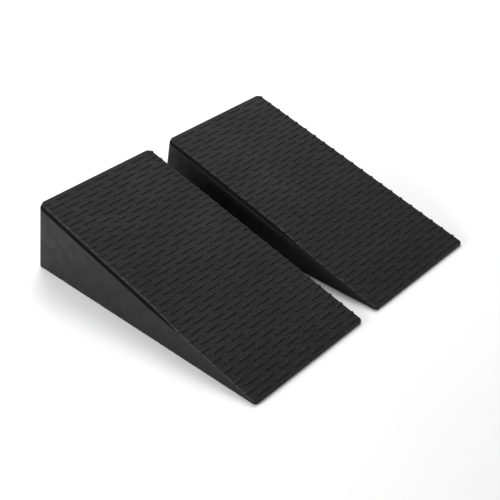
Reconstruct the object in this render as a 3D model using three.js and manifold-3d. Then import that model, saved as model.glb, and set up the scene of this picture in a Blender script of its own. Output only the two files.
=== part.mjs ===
// A pair of wedge-shaped leveling blocks that a caravan or trailer wheel drives up.
// Each block is a hollow, ribbed plastic moulding with a rubber mat on its slope, raised
// in short staggered bars, and six rubber feet pushed into bosses under it.
//
// Millimetres. +X runs across the pair, +Y up the slope to the tall heel, +Z up.
// The origin is on the ground, in the middle of the pair.

import * as THREE from 'three';
import { mergeVertices } from 'three/addons/utils/BufferGeometryUtils.js';
import Module from 'manifold-3d';

const wasm = await Module();
wasm.setup();

// ---------------------------------------------------------------- driving dimensions

// The pair
const BLOCK_SPACING = 248;        // centre to centre of the two blocks
const GROUND_CLEARANCE = 1;       // how far the feet stand proud of the body's base
const CLEARANCE = 0.3;            // between pieces that touch
const SMALLEST_STEP = 0.005;      // finer steps than this along a face are smoothed away

// One block, measured from the body's base
const LENGTH = 430;               // toe to heel at the base
const WIDTH = 216;                // side to side at the base
const HEEL_HEIGHT = 113;          // base to the tread's edge at the heel
const TOE_HEIGHT = 4.5;           // base to the tread's edge at the toe
const DRAFT = THREE.MathUtils.degToRad(1.5);
const HEEL_LEAN = THREE.MathUtils.degToRad(9.9);
const HEEL_CORNER_RADIUS = 8.5;
const TOE_CORNER_RADIUS = 4;
const SMALLEST_RADIUS = 1;        // of a corner on an outline that is drawn in

// The tread mat and the raised bars on it
const MAT_THICKNESS = 1.5;        // between the bars
const BAR_LENGTH = 24;
const BAR_WIDTH = 3.8;
const BAR_HEIGHT = 1;
const BAR_PITCH = 35;             // along a row
const ROW_PITCH = 10;             // from row to row, up the slope
const ROW_COUNT = 42;
const FIRST_ROW = 7;              // from the tread's toe edge
const PATTERN_OFFSET = 2.9;       // the pattern sits a little to the right of the middle
const SHORTEST_BAR = 2;           // what is left of a bar at a side edge

// The step along the left edge of the tread, which runs out before the toe
const STEP_WIDTH = 4;
const STEP_DEPTH = 6.2;
const STEP_END = 130;             // up the slope from the toe
const STEP_FULL = 195;            // full size from here to the heel

// The hollow underside
const WALL = 5;
const ROOF = 6;
const RIB = 3;
const COLUMNS = 5;
const ROWS = 9;
const SOLID_TOE = 40;

// The feet and their bosses
const BOSS_RADIUS = 13;
const FOOT_RADIUS = 10;
const FOOT_THICKNESS = 3;
const FOOT_CHAMFER = 0.8;
const STEM_RADIUS = 4;
const STEM_LENGTH = 5;
const ROUND_STEPS = 14;

// ---------------------------------------------------------------- worked-out sizes

const HEEL_SETBACK = HEEL_HEIGHT * Math.tan(HEEL_LEAN);
const SLOPE_RISE = (HEEL_HEIGHT - TOE_HEIGHT) / (LENGTH - HEEL_SETBACK);
const SLOPE_ANGLE = Math.atan(SLOPE_RISE);
const SLOPE_LENGTH = Math.hypot(HEEL_HEIGHT - TOE_HEIGHT, LENGTH - HEEL_SETBACK);
const SEAT_DEPTH = MAT_THICKNESS + CLEARANCE;
const CELL_WIDTH = (WIDTH - 2 * WALL - (COLUMNS - 1) * RIB) / COLUMNS;
const CELL_LENGTH = (LENGTH - WALL - SOLID_TOE - (ROWS - 1) * RIB) / ROWS;
const SOCKET_DEPTH = FOOT_THICKNESS - GROUND_CLEARANCE + CLEARANCE;

// ---------------------------------------------------------------- solids

function solidFrom(geometry) {
  const bare = geometry.clone();
  bare.deleteAttribute('normal');
  bare.deleteAttribute('uv');
  const merged = mergeVertices(bare);
  return new wasm.Manifold(new wasm.Mesh({
    numProp: 3,
    vertProperties: new Float32Array(merged.attributes.position.array),
    triVerts: new Uint32Array(merged.index.array),
  }));
}

function geometryFrom(solid) {
  const mesh = solid.asOriginal().simplify(SMALLEST_STEP).getMesh();
  const geometry = new THREE.BufferGeometry();
  geometry.setAttribute('position', new THREE.BufferAttribute(mesh.vertProperties, 3));
  geometry.setIndex(new THREE.BufferAttribute(mesh.triVerts, 1));
  geometry.computeVertexNormals();
  return geometry;
}

// A closed solid between two loops of the same number of points, both anticlockwise from above.
function loft(lower, upper) {
  const count = lower.length;
  const triangles = [];
  for (let i = 0; i < count; i += 1) {
    const next = (i + 1) % count;
    triangles.push(i, next, count + next);
    triangles.push(i, count + next, count + i);
  }
  for (let i = 1; i < count - 1; i += 1) {
    triangles.push(0, i + 1, i);
    triangles.push(count, count + i, count + i + 1);
  }
  const geometry = new THREE.BufferGeometry().setFromPoints([...lower, ...upper]);
  geometry.setIndex(triangles);
  return solidFrom(geometry);
}

// A point on the outline moves inward as it rises. `inward` is that movement for each unit of
// height. The point stops on the plane that lies `depth` straight below the tread.
function riseToSlope(point, inward, depth) {
  const start = TOE_HEIGHT - depth + (point.y + LENGTH / 2 - inward.y * point.z) * SLOPE_RISE;
  const height = start / (1 - inward.y * SLOPE_RISE);
  const climb = height - point.z;
  return new THREE.Vector3(point.x + inward.x * climb, point.y + inward.y * climb, height);
}

// The block's outline at the base, each point with the way it leans as it rises.
function baseOutline(inset) {
  const corners = [
    { x: 1, y: -1, radius: TOE_CORNER_RADIUS, steps: 3, lean: 0 },
    { x: 1, y: 1, radius: HEEL_CORNER_RADIUS, steps: 6, lean: -Math.tan(HEEL_LEAN) },
    { x: -1, y: 1, radius: HEEL_CORNER_RADIUS, steps: 6, lean: -Math.tan(HEEL_LEAN) },
    { x: -1, y: -1, radius: TOE_CORNER_RADIUS, steps: 3, lean: 0 },
  ];
  const outline = [];
  corners.forEach((corner, quarter) => {
    const reach = Math.max(corner.radius - inset, SMALLEST_RADIUS);
    const centreX = corner.x * (WIDTH / 2 - inset - reach);
    const centreY = corner.y * (LENGTH / 2 - inset - reach);
    for (let step = 0; step <= corner.steps; step += 1) {
      const angle = (quarter - 1 + step / corner.steps) * Math.PI / 2;
      outline.push({
        point: new THREE.Vector3(
          centreX + reach * Math.cos(angle),
          centreY + reach * Math.sin(angle),
          0,
        ),
        inward: new THREE.Vector2(-corner.x * Math.tan(DRAFT), corner.lean),
      });
    }
  });
  return outline;
}

// The outside of a block, drawn in by `inset` and cut off `depth` below the tread.
function wedge(inset, depth) {
  const outline = baseOutline(inset);
  return loft(
    outline.map(({ point }) => point),
    outline.map(({ point, inward }) => riseToSlope(point, inward, depth)),
  );
}

// Moves a geometry from the tread's own frame, in which X runs across, Y up the slope from
// the toe edge and Z out of the tread, to the block's frame.
function ontoSlope(geometry) {
  return geometry
    .rotateX(SLOPE_ANGLE)
    .translate(0, -LENGTH / 2, TOE_HEIGHT);
}

// A flat slab that covers the whole slope between two depths below the tread.
function slopeSlab(top, bottom) {
  const slab = new THREE.BoxGeometry(WIDTH * 2, LENGTH * 2, bottom - top);
  slab.translate(0, SLOPE_LENGTH / 2, -(top + bottom) / 2);
  return solidFrom(ontoSlope(slab));
}

// What is cut away along the left edge of the tread: nothing at STEP_END, growing to the full
// step at STEP_FULL, then on through the heel. It reaches up past the bars.
function edgeStep() {
  const above = 2 * BAR_HEIGHT;
  const sections = [
    { along: STEP_END, width: 0, depth: 0 },
    { along: STEP_FULL, width: STEP_WIDTH, depth: STEP_DEPTH },
    { along: LENGTH, width: STEP_WIDTH, depth: STEP_DEPTH },
  ].map(({ along, width, depth }) => {
    const side = Math.tan(DRAFT) * (TOE_HEIGHT + along * Math.sin(SLOPE_ANGLE)) - WIDTH / 2;
    const inner = side + width;
    return [[inner, -depth], [inner, above], [-WIDTH, above], [-WIDTH, -depth]]
      .map(([x, z]) => new THREE.Vector3(x, along, z));
  });
  const stretches = [0, 1].map((i) => {
    const corners = new THREE.BufferGeometry()
      .setFromPoints([...sections[i], ...sections[i + 1]]);
    const places = ontoSlope(corners).attributes.position;
    return wasm.Manifold.hull(Array.from(
      { length: places.count },
      (_, k) => [places.getX(k), places.getY(k), places.getZ(k)],
    ));
  });
  return stretches[0].add(stretches[1]);
}

// ---------------------------------------------------------------- tread mat

// A bar's footprint, pointed at both ends, raised from inside the mat.
function treadBar(x, y) {
  const half = BAR_WIDTH / 2;
  const reach = BAR_LENGTH / 2 - half;
  const footprint = new THREE.Shape()
    .absarc(reach, 0, half, -Math.PI / 2, Math.PI / 2)
    .absarc(-reach, 0, half, Math.PI / 2, 3 * Math.PI / 2);
  const bar = new THREE.ExtrudeGeometry(footprint, {
    depth: 2 * BAR_HEIGHT,
    curveSegments: 1,
    bevelEnabled: false,
  });
  return solidFrom(ontoSlope(bar.translate(x, y, -BAR_HEIGHT)));
}

// Every other row is shifted by half a pitch. A bar that reaches a side edge is cut off there.
function treadBars() {
  const bars = [];
  for (let row = 0; row < ROW_COUNT; row += 1) {
    const shift = row % 2 === 0 ? BAR_PITCH / 2 : 0;
    for (let column = -4; column <= 3; column += 1) {
      const x = PATTERN_OFFSET + shift + column * BAR_PITCH;
      if (Math.abs(x) - BAR_LENGTH / 2 < WIDTH / 2 - SHORTEST_BAR) {
        bars.push(treadBar(x, FIRST_ROW + row * ROW_PITCH));
      }
    }
  }
  return wasm.Manifold.union(bars).intersect(wedge(0, -2 * BAR_HEIGHT));
}

function makeTreadMat() {
  const sheet = wedge(0, 0).intersect(slopeSlab(-SEAT_DEPTH, MAT_THICKNESS));
  return geometryFrom(sheet.add(treadBars()).subtract(edgeStep()));
}

// ---------------------------------------------------------------- body

// One pocket of the underside. Its sides draw in as they rise, and the last row follows the heel.
function pocket(column, row) {
  const left = -WIDTH / 2 + WALL + column * (CELL_WIDTH + RIB);
  const front = -LENGTH / 2 + SOLID_TOE + row * (CELL_LENGTH + RIB);
  const draft = Math.tan(DRAFT);
  const backLean = row === ROWS - 1 ? -Math.tan(HEEL_LEAN) : -draft;
  const corners = [
    { x: left, y: front, inward: new THREE.Vector2(draft, draft) },
    { x: left + CELL_WIDTH, y: front, inward: new THREE.Vector2(-draft, draft) },
    { x: left + CELL_WIDTH, y: front + CELL_LENGTH, inward: new THREE.Vector2(-draft, backLean) },
    { x: left, y: front + CELL_LENGTH, inward: new THREE.Vector2(draft, backLean) },
  ];
  const floor = corners.map(({ x, y }) => new THREE.Vector3(x, y, -1));
  const roof = corners.map(({ inward }, i) => riseToSlope(floor[i], inward, SEAT_DEPTH + ROOF));
  return loft(floor, roof);
}

// Bosses stand where ribs cross, at the heel, the middle and the toe.
function footPlaces() {
  const pitch = CELL_LENGTH + RIB;
  const front = -LENGTH / 2 + SOLID_TOE - RIB / 2;
  const across = 1.5 * (CELL_WIDTH + RIB);
  return [
    { name: 'heel', y: front + 8 * pitch },
    { name: 'middle', y: front + 4 * pitch },
    { name: 'toe', y: front },
  ].flatMap(({ name, y }) => [
    { name: `${name}_left`, x: -across, y },
    { name: `${name}_right`, x: across, y },
  ]);
}

function upright(radius, bottom, top, { x, y }) {
  const post = new THREE.CylinderGeometry(radius, radius, top - bottom, ROUND_STEPS);
  post.rotateX(Math.PI / 2);
  post.translate(x, y, (top + bottom) / 2);
  return solidFrom(post);
}

function makeBody() {
  let pockets = wasm.Manifold.union(
    Array.from({ length: COLUMNS * ROWS }, (_, i) => pocket(i % COLUMNS, Math.floor(i / COLUMNS))),
  );
  for (const place of footPlaces()) {
    pockets = pockets.subtract(upright(BOSS_RADIUS, -2, HEEL_HEIGHT, place));
  }
  let body = wedge(0, 0)
    .subtract(slopeSlab(-SEAT_DEPTH, SEAT_DEPTH))
    .subtract(edgeStep())
    .subtract(pockets);
  for (const place of footPlaces()) {
    const stemSocket = SOCKET_DEPTH + STEM_LENGTH;
    body = body
      .subtract(upright(FOOT_RADIUS + CLEARANCE, -1, SOCKET_DEPTH, place))
      .subtract(upright(STEM_RADIUS + CLEARANCE, -1, stemSocket, place));
  }
  return geometryFrom(body);
}

// ---------------------------------------------------------------- feet

// A round pad with a chamfered sole and a stem on its back.
function makeFoot() {
  const profile = [
    [0, 0],
    [FOOT_RADIUS - FOOT_CHAMFER, 0],
    [FOOT_RADIUS, FOOT_CHAMFER],
    [FOOT_RADIUS, FOOT_THICKNESS],
    [STEM_RADIUS, FOOT_THICKNESS],
    [STEM_RADIUS, FOOT_THICKNESS + STEM_LENGTH],
    [0, FOOT_THICKNESS + STEM_LENGTH],
  ].map(([radius, height]) => new THREE.Vector2(radius, height));
  return new THREE.LatheGeometry(profile, ROUND_STEPS).rotateX(Math.PI / 2);
}

// ---------------------------------------------------------------- the pair

const plastic = new THREE.MeshStandardMaterial({ color: 0x2b2b2c, roughness: 0.7, metalness: 0 });
const matRubber = new THREE.MeshStandardMaterial({ color: 0x222223, roughness: 0.85, metalness: 0 });
const footRubber = new THREE.MeshStandardMaterial({ color: 0x1b1b1b, roughness: 0.95, metalness: 0 });

const bodyGeometry = makeBody();
const matGeometry = makeTreadMat();
const footGeometry = makeFoot();

function named(name, geometry, material) {
  const mesh = new THREE.Mesh(geometry, material);
  mesh.name = name;
  return mesh;
}

function makeBlock(side) {
  const block = new THREE.Group();
  const body = named(`${side}_body`, bodyGeometry, plastic.clone());
  const mat = named(`${side}_tread_mat`, matGeometry, matRubber.clone());
  body.position.z = GROUND_CLEARANCE;
  mat.position.z = GROUND_CLEARANCE;
  block.add(body, mat);
  for (const { name, x, y } of footPlaces()) {
    const foot = named(`${side}_foot_${name}`, footGeometry, footRubber.clone());
    foot.position.set(x, y, 0);
    block.add(foot);
  }
  return block;
}

const set = new THREE.Group();
for (const [index, side] of ['left', 'right'].entries()) {
  const block = makeBlock(side);
  block.position.x = (index - 0.5) * BLOCK_SPACING;
  set.add(block);
}

export default set;
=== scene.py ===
"""A pair of leveling blocks: hollow ribbed wedges with barred tread mats and rubber feet.

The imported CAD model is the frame. Each block's body, mat and feet are rebuilt here with rounded
edges, and each piece stands for one CAD node. Shapes are worked out in millimetres in a
block's own frame (X across, Y from the toe to the heel, Z up from the body's base), then placed.
"""
import math
from collections import namedtuple

import bmesh
import bpy
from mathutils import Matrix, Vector
from mathutils.geometry import delaunay_2d_cdt


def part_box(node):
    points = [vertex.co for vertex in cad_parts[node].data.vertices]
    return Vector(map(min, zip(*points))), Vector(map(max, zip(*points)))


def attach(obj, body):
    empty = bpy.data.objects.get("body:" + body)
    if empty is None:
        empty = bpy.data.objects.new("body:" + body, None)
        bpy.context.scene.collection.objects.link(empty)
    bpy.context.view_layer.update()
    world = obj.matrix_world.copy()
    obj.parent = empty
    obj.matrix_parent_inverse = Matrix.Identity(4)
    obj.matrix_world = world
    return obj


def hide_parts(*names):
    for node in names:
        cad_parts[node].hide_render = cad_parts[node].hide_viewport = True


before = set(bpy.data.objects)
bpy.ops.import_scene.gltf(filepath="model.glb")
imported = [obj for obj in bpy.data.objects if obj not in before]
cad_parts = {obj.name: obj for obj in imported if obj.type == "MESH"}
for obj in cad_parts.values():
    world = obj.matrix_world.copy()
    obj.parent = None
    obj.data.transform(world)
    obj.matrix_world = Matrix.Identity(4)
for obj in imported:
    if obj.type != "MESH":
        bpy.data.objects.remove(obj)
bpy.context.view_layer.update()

# ------------------------------------------------------------------ sizes, in millimetres

MM = 0.001
SIDES = ("left", "right")

body_low, body_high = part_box("left_body")
_, mat_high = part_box("left_tread_mat")
LENGTH = (body_high.y - body_low.y) / MM
WIDTH = (body_high.x - body_low.x) / MM
GROUND_CLEARANCE = body_low.z / MM
HEEL_HEIGHT = (mat_high.z - body_low.z) / MM
HEEL_SETBACK = (body_high.y - mat_high.y) / MM
TOE_HEIGHT = 4.5
DRAFT = math.tan(math.radians(1.5))
HEEL_LEAN = HEEL_SETBACK / HEEL_HEIGHT
HEEL_CORNER_RADIUS = 8.5
TOE_CORNER_RADIUS = 4.0

RISE = (HEEL_HEIGHT - TOE_HEIGHT) / (LENGTH - HEEL_SETBACK)
SLOPE = math.atan(RISE)

# The tread mat and the raised bars on it
MAT_THICKNESS = 1.75
SEAT_DEPTH = 1.8                  # where the mat meets the body, below the tread
MAT_EDGE_HEEL = 1.2               # rounding of the mat's edge
MAT_EDGE_TOE = 1.4
BAR_LENGTH = 24.0
BAR_WIDTH = 3.8
BAR_HEIGHT = 1.0
BAR_EDGE = 0.45
BAR_FILLET = 0.25                 # where a bar rises from the mat
BAR_MARGIN = 0.25                 # flat mat between a bar's fillet and the mat's rounded edge
BAR_PITCH = 35.0                  # along a row
BAR_COLUMNS = range(-4, 4)        # counted from the middle
ROW_PITCH = 10.0                  # from row to row, up the slope
ROW_COUNT = 42
FIRST_ROW = 7.0
PATTERN_OFFSET = 2.9
SHORTEST_BAR = 2.0                # a shorter rest of a bar at a side edge is left out
BAR_END_RECESS = 0.05             # a cut bar's end, behind the mat's side

# The step along the left edge of the tread, which runs out before the toe
STEP_WIDTH = 4.0
STEP_DEPTH = 6.2
STEP_END = 130.0
STEP_FULL = 195.0
STEP_LEAST = 0.1                  # the rim lies this far below the mat's seat where there is none

# The body's edges and its hollow underside
BASE_EDGE = 0.6
RIM_EDGE = 0.45
SUPPORT = 0.4                     # a ring of faces beside a rounded edge, to keep it crisp
WALL = 5.0
ROOF = 6.0
RIB = 3.0
RIB_EDGE = 0.4
COLUMNS = 5
ROWS = 9
SOLID_TOE = 40.0
POCKET_CORNER = 5.0
LEAST_POCKET_CORNER = 0.2
POCKET_FILLET = 1.8
CELL_WIDTH = (WIDTH - 2 * WALL - (COLUMNS - 1) * RIB) / COLUMNS
CELL_LENGTH = (LENGTH - WALL - SOLID_TOE - (ROWS - 1) * RIB) / ROWS

# The feet
BOSS_RADIUS = 13.0
FOOT_RADIUS = 10.0
FOOT_THICKNESS = 3.0
FOOT_EDGE = 0.8
FOOT_BACK_EDGE = 0.4
FOOT_WORN_RIM = 0.6
SOLE_CENTRE = 0.4                 # radius of the first ring of points, round the middle of the sole
SOLE_RINGS = (3.2, 5.2, 7.2)      # radii of the grooves in the sole
SOLE_RING_HALF_WIDTH = 0.45
SOLE_RING_DEPTH = 0.4
STEM_RADIUS = 4.0
STEM_LENGTH = 5.0
STEM_FILLET = 0.4
STEM_EDGE = 0.6
FIT = 0.3                         # between a foot and its socket
FOOT_STEPS = 48

# ------------------------------------------------------------------ mesh building

Station = namedtuple("Station", "x y out_x out_y lean_y")


class Shape:
    """Collects points, faces and an edge-wear value for each point, then makes one mesh. On the tread
    mat the edge-wear value also marks a painted highlight.
    """

    def __init__(self):
        self.points = []
        self.wear = []
        self.faces = []
        self.smooth = []

    def ring(self, points, wear=0.0):
        first = len(self.points)
        self.points.extend(points)
        self.wear.extend([wear] * len(points))
        return list(range(first, len(self.points)))

    def face(self, corners, smooth=True):
        self.faces.append(corners)
        self.smooth.append(smooth)

    def strip(self, lower, upper, smooth=True):
        """Quads between two closed rings of the same length."""
        for i in range(len(lower)):
            j = (i + 1) % len(lower)
            self.face([lower[i], lower[j], upper[j], upper[i]], smooth)

    def fill(self, outer, holes, flat_place):
        """Flat triangles inside one ring and outside others; flat_place gives a point's 2D place."""
        ids = []
        loops = []
        for ring in [outer, *holes]:
            loops.append(list(range(len(ids), len(ids) + len(ring))))
            ids.extend(ring)
        places = [Vector(flat_place(self.points[i])) for i in ids]
        inside_without_holes = 2
        made = delaunay_2d_cdt(places, [], loops, inside_without_holes, 1e-5)
        triangles, origins = made[2], made[3]
        for triangle in triangles:
            self.face([ids[origins[corner][0]] for corner in triangle], smooth=False)

    def build(self, name, place, material):
        mesh = bpy.data.meshes.new(name)
        mesh.from_pydata([(place + p) * MM for p in self.points], [], self.faces)
        mesh.polygons.foreach_set("use_smooth", self.smooth)
        # edge wear of each point; on the tread mat it also marks the edges painted paler as a
        # highlight
        attribute = mesh.attributes.new("wear", "FLOAT", "POINT")
        attribute.data.foreach_set("value", self.wear)
        mesh.materials.append(material)
        mesh.validate()
        turn_faces_out(mesh)
        piece = bpy.data.objects.new(name, mesh)
        bpy.context.scene.collection.objects.link(piece)
        return piece


def turn_faces_out(mesh):
    shape = bmesh.new()
    shape.from_mesh(mesh)
    bmesh.ops.recalc_face_normals(shape, faces=shape.faces)
    shape.to_mesh(mesh)
    shape.free()


def arc(start, end, steps):
    """Angles in radians from start to end degrees."""
    return [math.radians(start + (end - start) * i / steps) for i in range(steps + 1)]


def rounding(radius, steps=4):
    """(inset, drop) pairs from a flat face, over a rounded edge, to the side face below it."""
    return [(radius * (1 - math.sin(a)), radius * (1 - math.cos(a))) for a in arc(0, 90, steps)]


def worn(inset, radius):
    """Wear at a place on a rounded edge: none where it runs out into the flat faces. On the tread mat
    this also marks a painted highlight.
    """
    return 1.0 if 0.02 * radius < inset < 0.98 * radius else 0.0


# ------------------------------------------------------------------ the block's outside


def outline():
    """Stations round the base, anticlockwise from above, starting at the right toe corner."""
    stations = []

    def corner(side_x, side_y, start, radius, steps, lean):
        for angle in arc(start, start + 90, steps):
            out_x, out_y = math.cos(angle), math.sin(angle)
            x = side_x * (WIDTH / 2 - radius) + radius * out_x
            y = side_y * (LENGTH / 2 - radius) + radius * out_y
            stations.append(Station(x, y, out_x, out_y, lean))

    def side(side_x, towards_heel):
        low = -LENGTH / 2 + TOE_CORNER_RADIUS
        high = LENGTH / 2 - HEEL_CORNER_RADIUS
        steps = 40
        for i in range(1, steps):
            t = i / steps if towards_heel else 1 - i / steps
            y = low + (high - low) * t
            stations.append(Station(side_x * WIDTH / 2, y, side_x, 0.0, -HEEL_LEAN * t))

    corner(1, -1, -90, TOE_CORNER_RADIUS, 6, 0.0)
    side(1, True)
    corner(1, 1, 0, HEEL_CORNER_RADIUS, 12, -HEEL_LEAN)
    corner(-1, 1, 90, HEEL_CORNER_RADIUS, 12, -HEEL_LEAN)
    side(-1, False)
    corner(-1, -1, 180, TOE_CORNER_RADIUS, 6, 0.0)
    return stations


def at_height(station, inset, height):
    side_x = math.copysign(1, station.x)
    return Vector((
        station.x - station.out_x * inset - side_x * DRAFT * height,
        station.y - station.out_y * inset + station.lean_y * height,
        height,
    ))


def under_tread(station, inset, depth):
    """The wall's point at a depth square to the tread."""
    y = station.y - station.out_y * inset
    straight_down = depth / math.cos(SLOPE)
    height = (TOE_HEIGHT - straight_down + (y + LENGTH / 2) * RISE) / (1 - station.lean_y * RISE)
    return at_height(station, inset, height)


def up_slope(point):
    """How far a point of the block lies up the slope from the toe edge."""
    return (point.y + LENGTH / 2) * math.cos(SLOPE) + (point.z - TOE_HEIGHT) * math.sin(SLOPE)


def on_tread(x, along, depth):
    """A place on the tread, at a depth square to it, as a point of the block."""
    return Vector((
        x,
        -LENGTH / 2 + along * math.cos(SLOPE) + depth * math.sin(SLOPE),
        TOE_HEIGHT + along * math.sin(SLOPE) - depth * math.cos(SLOPE),
    ))


def step_share(along, out_x):
    """How much of the step there is at a place up the slope, on a side that faces out_x."""
    share = (along - STEP_END) / (STEP_FULL - STEP_END)
    return min(1.0, max(0.0, share)) * max(0.0, -out_x)


def share_at(station):
    return step_share(up_slope(under_tread(station, 0, 0)), station.out_x)


# ------------------------------------------------------------------ underside


def foot_places():
    pitch = CELL_LENGTH + RIB
    front = -LENGTH / 2 + SOLID_TOE - RIB / 2
    across = 1.5 * (CELL_WIDTH + RIB)
    rows = (("heel", front + 8 * pitch), ("middle", front + 4 * pitch), ("toe", front))
    return [
        (f"{row}_{side}", Vector((sign * across, y, 0)))
        for row, y in rows
        for side, sign in (("left", -1), ("right", 1))
    ]


def boss_at(x, y):
    return any((place - Vector((x, y, 0))).length < RIB for _, place in foot_places())


def pocket_outline(column, row, height, extra):
    """A pocket's outline at a height, drawn in by the draft and by `extra`. Bosses cut its corners."""
    left = -WIDTH / 2 + WALL + column * (CELL_WIDTH + RIB)
    front = -LENGTH / 2 + SOLID_TOE + row * (CELL_LENGTH + RIB)
    draw_in = DRAFT * height + extra
    back_draw = HEEL_LEAN * height + extra if row == ROWS - 1 else draw_in
    low = Vector((left + draw_in, front + draw_in))
    high = Vector((left + CELL_WIDTH - draw_in, front + CELL_LENGTH - back_draw))
    corners = (
        (low.x, low.y, 1, 1, 180),
        (high.x, low.y, -1, 1, 270),
        (high.x, high.y, -1, -1, 0),
        (low.x, high.y, 1, -1, 90),
    )
    steps = 6
    points = []
    for x, y, in_x, in_y, start in corners:
        cross_x = left - RIB / 2 if in_x > 0 else left + CELL_WIDTH + RIB / 2
        cross_y = front - RIB / 2 if in_y > 0 else front + CELL_LENGTH + RIB / 2
        if boss_at(cross_x, cross_y):
            radius = BOSS_RADIUS + draw_in
            reach_x = math.asin(abs(y - cross_y) / radius)
            reach_y = math.asin(abs(x - cross_x) / radius)
            # from the edge that arrives at the corner to the edge that leaves it
            first = math.pi / 2 - reach_y
            last = reach_x
            if in_x * in_y < 0:
                first, last = last, first
            for i in range(steps + 1):
                angle = first + (last - first) * i / steps
                points.append(Vector((
                    cross_x + in_x * radius * math.cos(angle),
                    cross_y + in_y * radius * math.sin(angle),
                )))
        else:
            radius = max(POCKET_CORNER - draw_in, LEAST_POCKET_CORNER)
            for angle in arc(start, start + 90, steps):
                points.append(Vector((
                    x + in_x * radius + radius * math.cos(angle),
                    y + in_y * radius + radius * math.sin(angle),
                )))
    return points


def roof_height(y):
    return TOE_HEIGHT + (y + LENGTH / 2) * RISE - (SEAT_DEPTH + ROOF) / math.cos(SLOPE)


def pocket_ring(column, row, drop, extra):
    """The pocket's outline `drop` below its sloping roof."""
    heights = [roof_height(p.y) - drop for p in pocket_outline(column, row, 0, extra)]
    for _ in range(3):
        places = [pocket_outline(column, row, h, extra)[i] for i, h in enumerate(heights)]
        heights = [roof_height(p.y) - drop for p in places]
    return [Vector((p.x, p.y, h)) for p, h in zip(places, heights)]


def add_pocket(shape, column, row):
    """Rounded rib edges at the base, drafted walls, a filleted roof. Returns the ring at the base."""
    rings = []
    for inset, height in rounding(RIB_EDGE, 2):
        edge = [Vector((p.x, p.y, height)) for p in pocket_outline(column, row, 0, -inset)]
        rings.append(shape.ring(edge, worn(inset, RIB_EDGE)))
    for inset, drop in reversed(rounding(POCKET_FILLET, 3)):
        rings.append(shape.ring(pocket_ring(column, row, drop, inset)))
    for lower, upper in zip(rings, rings[1:]):
        shape.strip(lower, upper)
    shape.face(rings[-1], smooth=False)
    return rings[0]


def circle(centre, radius, height, steps):
    return [
        centre + Vector((radius * math.cos(a), radius * math.sin(a), height))
        for a in arc(0, 360, steps)[:-1]
    ]


def add_foot_socket(shape, place):
    """A recess for the foot's pad and a deeper hole for its stem. Returns the ring at the base."""
    pad = FOOT_RADIUS + FIT
    stem = STEM_RADIUS + FIT
    pad_depth = FOOT_THICKNESS - GROUND_CLEARANCE + FIT
    stem_depth = pad_depth + STEM_LENGTH
    profile = [
        (pad + RIB_EDGE, 0.0),
        (pad + RIB_EDGE * 0.3, RIB_EDGE * 0.3),
        (pad, RIB_EDGE),
        (pad, pad_depth),
        (stem, pad_depth),
        (stem, stem_depth),
    ]
    rings = [shape.ring(circle(place, radius, height, FOOT_STEPS)) for radius, height in profile]
    for lower, upper in zip(rings, rings[1:]):
        shape.strip(lower, upper)
    shape.face(rings[-1], smooth=False)
    return rings[0]


# ------------------------------------------------------------------ the body


def make_body(name, place, material):
    """The wedge: walls with rounded edges, the mat's seat, and the hollow underside."""
    shape = Shape()
    stations = outline()
    rings = []
    for inset, height in rounding(BASE_EDGE, 3):
        edge = [at_height(s, inset, height) for s in stations]
        rings.append(shape.ring(edge, worn(inset, BASE_EDGE)))
    rings.append(shape.ring([at_height(s, 0, BASE_EDGE + SUPPORT) for s in stations]))

    def step_floor(station):
        return SEAT_DEPTH + STEP_LEAST + (STEP_DEPTH - SEAT_DEPTH) * share_at(station)

    def rim(inset, drop, wear=0.0):
        return shape.ring([under_tread(s, inset, step_floor(s) + drop) for s in stations], wear)

    rings.append(rim(0, RIM_EDGE + SUPPORT))
    for inset, drop in reversed(rounding(RIM_EDGE, 3)):
        rings.append(rim(inset, drop, worn(inset, RIM_EDGE)))
    for lower, upper in zip(rings, rings[1:]):
        shape.strip(lower, upper)

    # across the step's floor and up to the seat, a little inside the mat's edge
    insets = [RIM_EDGE + SUPPORT + STEP_WIDTH * share_at(s) for s in stations]
    floor_depths = [step_floor(s) for s in stations]
    seat_depths = [SEAT_DEPTH] * len(stations)
    for depths in (floor_depths, seat_depths):
        places = [under_tread(*values) for values in zip(stations, insets, depths)]
        rings.append(shape.ring(places))
        shape.strip(rings[-2], rings[-1], smooth=False)
    shape.fill(rings[-1], [], lambda p: (p.x, p.y))

    holes = [add_pocket(shape, column, row) for row in range(ROWS) for column in range(COLUMNS)]
    holes += [add_foot_socket(shape, foot) for _, foot in foot_places()]
    shape.fill(rings[0], holes, lambda p: (p.x, p.y))
    return shape.build(name, place, material)


# ------------------------------------------------------------------ the tread mat


def bar_places():
    """Each bar's centre across the tread and its place up the slope."""
    for row in range(ROW_COUNT):
        shift = BAR_PITCH / 2 if row % 2 == 0 else 0.0
        for column in BAR_COLUMNS:
            x = PATTERN_OFFSET + shift + BAR_PITCH * column
            if abs(x) - BAR_LENGTH / 2 < WIDTH / 2 - SHORTEST_BAR:
                yield x, FIRST_ROW + row * ROW_PITCH


def tread_reach(side, along):
    """From the middle of the tread to its edge on one side, at a place up the slope."""
    draft = DRAFT * (TOE_HEIGHT + along * math.sin(SLOPE))
    return WIDTH / 2 - draft - STEP_WIDTH * step_share(along, side)


def bar_outline(x, along, grow):
    """A bar's outline, round at its ends, or cut square where it meets a side of the mat."""
    half = BAR_WIDTH / 2 + grow
    reach = BAR_LENGTH / 2 - BAR_WIDTH / 2
    points = []
    for side in (1, -1):
        limit = tread_reach(side, along) - BAR_END_RECESS
        if side * x + BAR_LENGTH / 2 > limit:
            points.append((side * (limit + grow), along - side * half))
            points.append((side * (limit + grow), along + side * half))
        else:
            centre = x + side * reach
            points += [
                (centre + side * half * math.cos(a), along + side * half * math.sin(a))
                for a in arc(-90, 90, 6)
            ]
    return points


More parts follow.
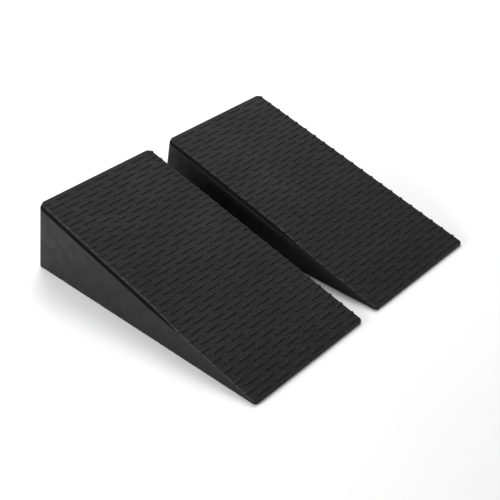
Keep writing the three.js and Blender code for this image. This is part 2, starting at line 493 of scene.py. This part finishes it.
def add_bar(shape, x, along):
    """A bar with rounded upper edges. Returns the ring where it rises from the mat, if inside it."""
    nearer_side = math.copysign(1, x)
    flat_reach = tread_reach(nearer_side, along) - MAT_EDGE_TOE - BAR_FILLET - BAR_MARGIN
    passes_edge = abs(x) + BAR_LENGTH / 2 > flat_reach
    if passes_edge:
        # it starts inside the mat, as there is no flat mat for it to rise from at its end
        profile = [(0.0, -MAT_EDGE_HEEL)]
    else:
        profile = rounding(BAR_FILLET, 2)
    profile += [(-inset, BAR_HEIGHT - drop) for inset, drop in reversed(rounding(BAR_EDGE, 4))]
    rings = []
    for grow, height in profile:
        places = [on_tread(px, py, -height) for px, py in bar_outline(x, along, grow)]
        # the bars' rounded edges are marked for the mat's painted highlight as well as for wear
        rings.append(shape.ring(places, worn(-grow, BAR_EDGE)))
    for lower, upper in zip(rings, rings[1:]):
        shape.strip(lower, upper)
    shape.face(rings[-1], smooth=False)
    if passes_edge:
        shape.face(rings[0], smooth=False)
        return None
    return rings[0]


def make_mat(name, place, material):
    """A sheet with a rounded edge, from which the bars rise. It is set back where there is a step."""
    shape = Shape()
    stations = outline()

    def edge_radius(station):
        share = (station.y + LENGTH / 2) / LENGTH
        return MAT_EDGE_TOE + (MAT_EDGE_HEEL - MAT_EDGE_TOE) * share

    def edge_place(station, inset, depth):
        return under_tread(station, STEP_WIDTH * share_at(station) + inset, depth)

    rings = []
    # the mat's rounded edge is marked for its painted highlight as well as for wear
    for inset, drop in rounding(1.0, 6):
        edge = [edge_place(s, edge_radius(s) * inset, edge_radius(s) * drop) for s in stations]
        rings.append(shape.ring(edge, worn(inset, 1.0)))
    rings.append(shape.ring([edge_place(s, 0, MAT_THICKNESS) for s in stations]))
    for upper, lower in zip(rings, rings[1:]):
        shape.strip(upper, lower)
    shape.fill(rings[-1], [], lambda p: (p.x, p.y))

    bars = [add_bar(shape, x, along) for x, along in bar_places()]
    holes = [ring for ring in bars if ring]
    shape.fill(rings[0], holes, lambda p: (p.x, up_slope(p)))
    return shape.build(name, place, material)


# ------------------------------------------------------------------ the feet


def make_foot(name, place, material):
    """A round pad with a rounded sole, fine rings moulded in it, and a stem on its back."""
    shape = Shape()
    top = FOOT_THICKNESS + STEM_LENGTH
    half = SOLE_RING_HALF_WIDTH
    profile = [(SOLE_CENTRE, 0.0)]
    for radius in SOLE_RINGS:
        profile += [
            (radius - half, 0.0),
            (radius - half * 0.5, SOLE_RING_DEPTH),
            (radius + half * 0.5, SOLE_RING_DEPTH),
            (radius + half, 0.0),
        ]
    for inset, drop in rounding(FOOT_EDGE, 4):
        profile.append((FOOT_RADIUS - inset, drop))
    for inset, drop in reversed(rounding(FOOT_BACK_EDGE, 3)):
        profile.append((FOOT_RADIUS - inset, FOOT_THICKNESS - drop))
    profile.append((STEM_RADIUS + STEM_FILLET, FOOT_THICKNESS))
    profile.append((STEM_RADIUS, FOOT_THICKNESS + STEM_FILLET))
    for inset, drop in reversed(rounding(STEM_EDGE, 3)):
        profile.append((STEM_RADIUS - inset, top - drop))
    rings = []
    for radius, height in profile:
        wear = 1.0 if radius > FOOT_RADIUS - FOOT_WORN_RIM else 0.0
        points = circle(Vector((0, 0, 0)), radius, height, FOOT_STEPS)
        rings.append(shape.ring(points, wear))
    for lower, upper in zip(rings, rings[1:]):
        shape.strip(lower, upper)
    shape.face(rings[0], smooth=False)
    shape.face(rings[-1], smooth=False)
    return shape.build(name, place, material)


# ------------------------------------------------------------------ materials


DEEP_BLACK = (0.0042, 0.0042, 0.0043)
SOFT_BLACK = (0.0062, 0.0062, 0.0063)


class Nodes:
    """A material's node tree with short calls for the nodes used here.

    Patterns are in the object's own metres: a scale counts features per metre, and a bump's
    distance is its height in metres.
    """

    def __init__(self, name):
        self.material = bpy.data.materials.new(name)
        self.material.use_nodes = True
        self.tree = self.material.node_tree
        self.shader = self.tree.nodes["Principled BSDF"]
        self.place = self.tree.nodes.new("ShaderNodeTexCoord").outputs["Object"]

    def link(self, source, target):
        self.tree.links.new(source, target)

    def noise(self, scale, detail=3.0, roughness=0.5, stretch=(1, 1, 1)):
        mapping = self.tree.nodes.new("ShaderNodeMapping")
        mapping.inputs["Scale"].default_value = stretch
        self.link(self.place, mapping.inputs["Vector"])
        node = self.tree.nodes.new("ShaderNodeTexNoise")
        node.inputs["Scale"].default_value = scale
        node.inputs["Detail"].default_value = detail
        node.inputs["Roughness"].default_value = roughness
        self.link(mapping.outputs["Vector"], node.inputs["Vector"])
        return node.outputs["Fac"]

    def cells(self, scale):
        node = self.tree.nodes.new("ShaderNodeTexVoronoi")
        node.inputs["Scale"].default_value = scale
        self.link(self.place, node.inputs["Vector"])
        return node.outputs["Distance"]

    def ramp(self, value, low, high, start=0.0, end=1.0):
        node = self.tree.nodes.new("ShaderNodeMapRange")
        node.inputs["From Min"].default_value = start
        node.inputs["From Max"].default_value = end
        node.inputs["To Min"].default_value = low
        node.inputs["To Max"].default_value = high
        self.link(value, node.inputs["Value"])
        return node.outputs["Result"]

    def math(self, operation, a, b):
        node = self.tree.nodes.new("ShaderNodeMath")
        node.operation = operation
        for socket, value in zip(node.inputs, (a, b)):
            if isinstance(value, (int, float)):
                socket.default_value = value
            else:
                self.link(value, socket)
        return node.outputs[0]

    def mix(self, share, a, b):
        node = self.tree.nodes.new("ShaderNodeMix")
        node.data_type = "RGBA"
        if isinstance(share, (int, float)):
            node.inputs[0].default_value = share
        else:
            self.link(share, node.inputs[0])
        for socket, value in ((node.inputs[6], a), (node.inputs[7], b)):
            if isinstance(value, tuple):
                socket.default_value = (*value, 1.0)
            else:
                self.link(value, socket)
        return node.outputs[2]

    def attribute(self, name):
        node = self.tree.nodes.new("ShaderNodeAttribute")
        node.attribute_name = name
        return node.outputs["Fac"]

    def worn_edges(self, scale, detail, low, high, start, end):
        """The wear of the mesh's edges, broken up by noise. The tread mat's material also paints a
        highlight with it.
        """
        patches = self.ramp(self.noise(scale, detail=detail), low, high, start, end)
        return self.math("MULTIPLY", self.attribute("wear"), patches)

    def bump(self, height, distance, strength=1.0, after=None):
        node = self.tree.nodes.new("ShaderNodeBump")
        node.inputs["Distance"].default_value = distance
        node.inputs["Strength"].default_value = strength
        self.link(height, node.inputs["Height"])
        if after is not None:
            self.link(after, node.inputs["Normal"])
        return node.outputs["Normal"]


def moulded_plastic():
    """Black structural plastic with a fine spark-eroded grain, flow marks and paler edges."""
    n = Nodes("moulded_plastic")
    flow = n.noise(9, detail=4, stretch=(1, 0.35, 1))
    mottle = n.noise(60, detail=5, roughness=0.6)
    grain = n.noise(900, detail=3)
    pits = n.cells(700)
    base = n.mix(n.ramp(flow, 0, 1, 0.3, 0.7), DEEP_BLACK, SOFT_BLACK)
    mottled = (0.0085, 0.0085, 0.0086)
    paler_edge = (0.018, 0.018, 0.0183)
    base = n.mix(n.ramp(mottle, 0, 0.5, 0.45, 0.75), base, mottled)
    worn = n.worn_edges(220, 4, 0.1, 0.75, 0.4, 0.65)
    n.link(n.mix(worn, base, paler_edge), n.shader.inputs["Base Color"])
    rough = n.ramp(n.math("ADD", mottle, n.math("MULTIPLY", flow, 0.6)), 0.46, 0.8, 0.5, 1.1)
    n.link(n.math("SUBTRACT", rough, n.math("MULTIPLY", worn, 0.3)), n.shader.inputs["Roughness"])
    fine = n.bump(grain, 0.00005)
    fine = n.bump(pits, 0.00003, after=fine)
    n.link(n.bump(flow, 0.0004, strength=0.35, after=fine), n.shader.inputs["Normal"])
    n.shader.inputs["Specular IOR Level"].default_value = 0.24
    return n.material


def mat_rubber():
    """Black tread rubber: finely pebbled, with flecks of grey dust and edges made shiny by rubbing.
    Its rounded edges are painted paler as a highlight, over their wear.
    """
    n = Nodes("mat_rubber")
    cloud = n.noise(14, detail=5, roughness=0.6)
    speck = n.noise(330, detail=4, roughness=0.75)
    pebble = n.cells(360)
    grain = n.noise(1100, detail=3)
    base = n.mix(n.ramp(cloud, 0, 1, 0.35, 0.7), DEEP_BLACK, SOFT_BLACK)
    dust = (0.05, 0.05, 0.0504)
    # painted highlight: the rounded edges of the mat and its bars get this paler colour as glints,
    # over their wear
    paler_edge = (0.026, 0.026, 0.0263)
    base = n.mix(n.ramp(speck, 0, 0.9, 0.56, 0.72), base, dust)
    worn = n.worn_edges(300, 4, 0.3, 1.0, 0.4, 0.6)
    # the edge mask paints the highlight into the base colour here; below, it also lowers the
    # roughness, a real worn shine
    n.link(n.mix(worn, base, paler_edge), n.shader.inputs["Base Color"])
    matt = n.ramp(n.math("ADD", cloud, speck), 0.6, 0.8, 0.6, 1.3)
    n.link(n.math("SUBTRACT", matt, n.math("MULTIPLY", worn, 0.45)), n.shader.inputs["Roughness"])
    fine = n.bump(grain, 0.00008)
    n.link(n.bump(pebble, 0.0006, after=fine), n.shader.inputs["Normal"])
    n.shader.inputs["Specular IOR Level"].default_value = 0.22
    return n.material


def foot_rubber():
    """Softer, duller black rubber."""
    n = Nodes("foot_rubber")
    cloud = n.noise(90, detail=4)
    grain = n.noise(1500, detail=2)
    dark = (0.012, 0.012, 0.012)
    pale = (0.020, 0.0198, 0.0195)
    paler_edge = (0.04, 0.04, 0.04)
    base = n.mix(n.ramp(cloud, 0, 1, 0.35, 0.7), dark, pale)
    worn = n.worn_edges(400, 3, 0.1, 0.8, 0.4, 0.65)
    n.link(n.mix(worn, base, paler_edge), n.shader.inputs["Base Color"])
    n.link(n.ramp(cloud, 0.78, 0.92, 0.3, 0.7), n.shader.inputs["Roughness"])
    n.link(n.bump(grain, 0.00006), n.shader.inputs["Normal"])
    n.shader.inputs["Specular IOR Level"].default_value = 0.25
    return n.material


# ------------------------------------------------------------------ the pair

plastic = moulded_plastic()
rubber = mat_rubber()
sole_rubber = foot_rubber()


def add_piece(piece, node, body):
    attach(piece, body)
    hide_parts(node)


for side in SIDES:
    low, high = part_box(f"{side}_body")
    centre = Vector(((low.x + high.x) / 2, (low.y + high.y) / 2, low.z)) / MM
    rides_on = f"{side}_block"
    body = make_body(f"{side}_block_body", centre, plastic)
    add_piece(body, f"{side}_body", rides_on)
    mat = make_mat(f"{side}_block_mat", centre, rubber)
    add_piece(mat, f"{side}_tread_mat", rides_on)
    for foot_name, foot_place in foot_places():
        on_ground = centre + foot_place - Vector((0, 0, GROUND_CLEARANCE))
        foot = make_foot(f"{side}_block_foot_{foot_name}", on_ground, sole_rubber)
        add_piece(foot, f"{side}_foot_{foot_name}", rides_on)

# ------------------------------------------------------------------ the studio, in metres

LENS_MM = 69.3
CAMERA_AZIMUTH = math.radians(-47.58)
CAMERA_ELEVATION = math.radians(35.56)
CAMERA_DISTANCE = 1.4408
CAMERA_AIM = Vector((0.0051, 0.0104, 0.001))
SENSOR_MM = 36
FLOOR_REACH = 6.0
WORLD_STRENGTH = 0.36


def add_camera():
    data = bpy.data.cameras.new("camera")
    data.lens = LENS_MM
    data.sensor_width = SENSOR_MM
    data.clip_start = 0.01
    data.clip_end = 100
    camera = bpy.data.objects.new("camera", data)
    back = Vector((
        math.sin(CAMERA_AZIMUTH) * math.cos(CAMERA_ELEVATION),
        -math.cos(CAMERA_AZIMUTH) * math.cos(CAMERA_ELEVATION),
        math.sin(CAMERA_ELEVATION),
    ))
    camera.location = CAMERA_AIM + back * CAMERA_DISTANCE
    camera.rotation_euler = (-back).to_track_quat("-Z", "Y").to_euler()
    bpy.context.scene.collection.objects.link(camera)
    bpy.context.scene.camera = camera


def add_area_light(name, place, aim, size, power):
    data = bpy.data.lights.new(name, "AREA")
    data.shape = "RECTANGLE"
    data.size, data.size_y = size
    data.energy = power
    light = bpy.data.objects.new(name, data)
    light.location = place
    light.rotation_euler = (Vector(aim) - Vector(place)).to_track_quat("-Z", "Y").to_euler()
    bpy.context.scene.collection.objects.link(light)


def add_floor():
    mesh = bpy.data.meshes.new("floor")
    corners = [(x * FLOOR_REACH, y * FLOOR_REACH, 0) for x, y in ((-1, -1), (1, -1), (1, 1), (-1, 1))]
    mesh.from_pydata(corners, [], [(0, 1, 2, 3)])
    floor = bpy.data.objects.new("floor", mesh)
    n = Nodes("pale_floor")
    paint = n.mix(n.noise(3, detail=3), (0.94, 0.94, 0.94), (0.96, 0.96, 0.96))
    n.link(paint, n.shader.inputs["Base Color"])
    n.shader.inputs["Roughness"].default_value = 0.9
    n.shader.inputs["Specular IOR Level"].default_value = 0.1
    mesh.materials.append(n.material)
    bpy.context.scene.collection.objects.link(floor)


def add_world():
    world = bpy.data.worlds.new("studio")
    world.use_nodes = True
    background = world.node_tree.nodes["Background"]
    background.inputs["Color"].default_value = (1, 1, 1, 1)
    background.inputs["Strength"].default_value = WORLD_STRENGTH
    bpy.context.scene.world = world


add_camera()
add_floor()
add_world()
add_area_light(
    "low_left",
    place=(-1.3, 0.4, 0.45),
    aim=(-0.25, 0.1, 0.05),
    size=(1.1, 0.7),
    power=18,
)
add_area_light(
    "overhead_back",
    place=(0.9, 0.75, 1.55),
    aim=(0.1, 0, 0.0),
    size=(1.6, 1.6),
    power=34,
)
bpy.context.scene.view_settings.view_transform = "Standard"
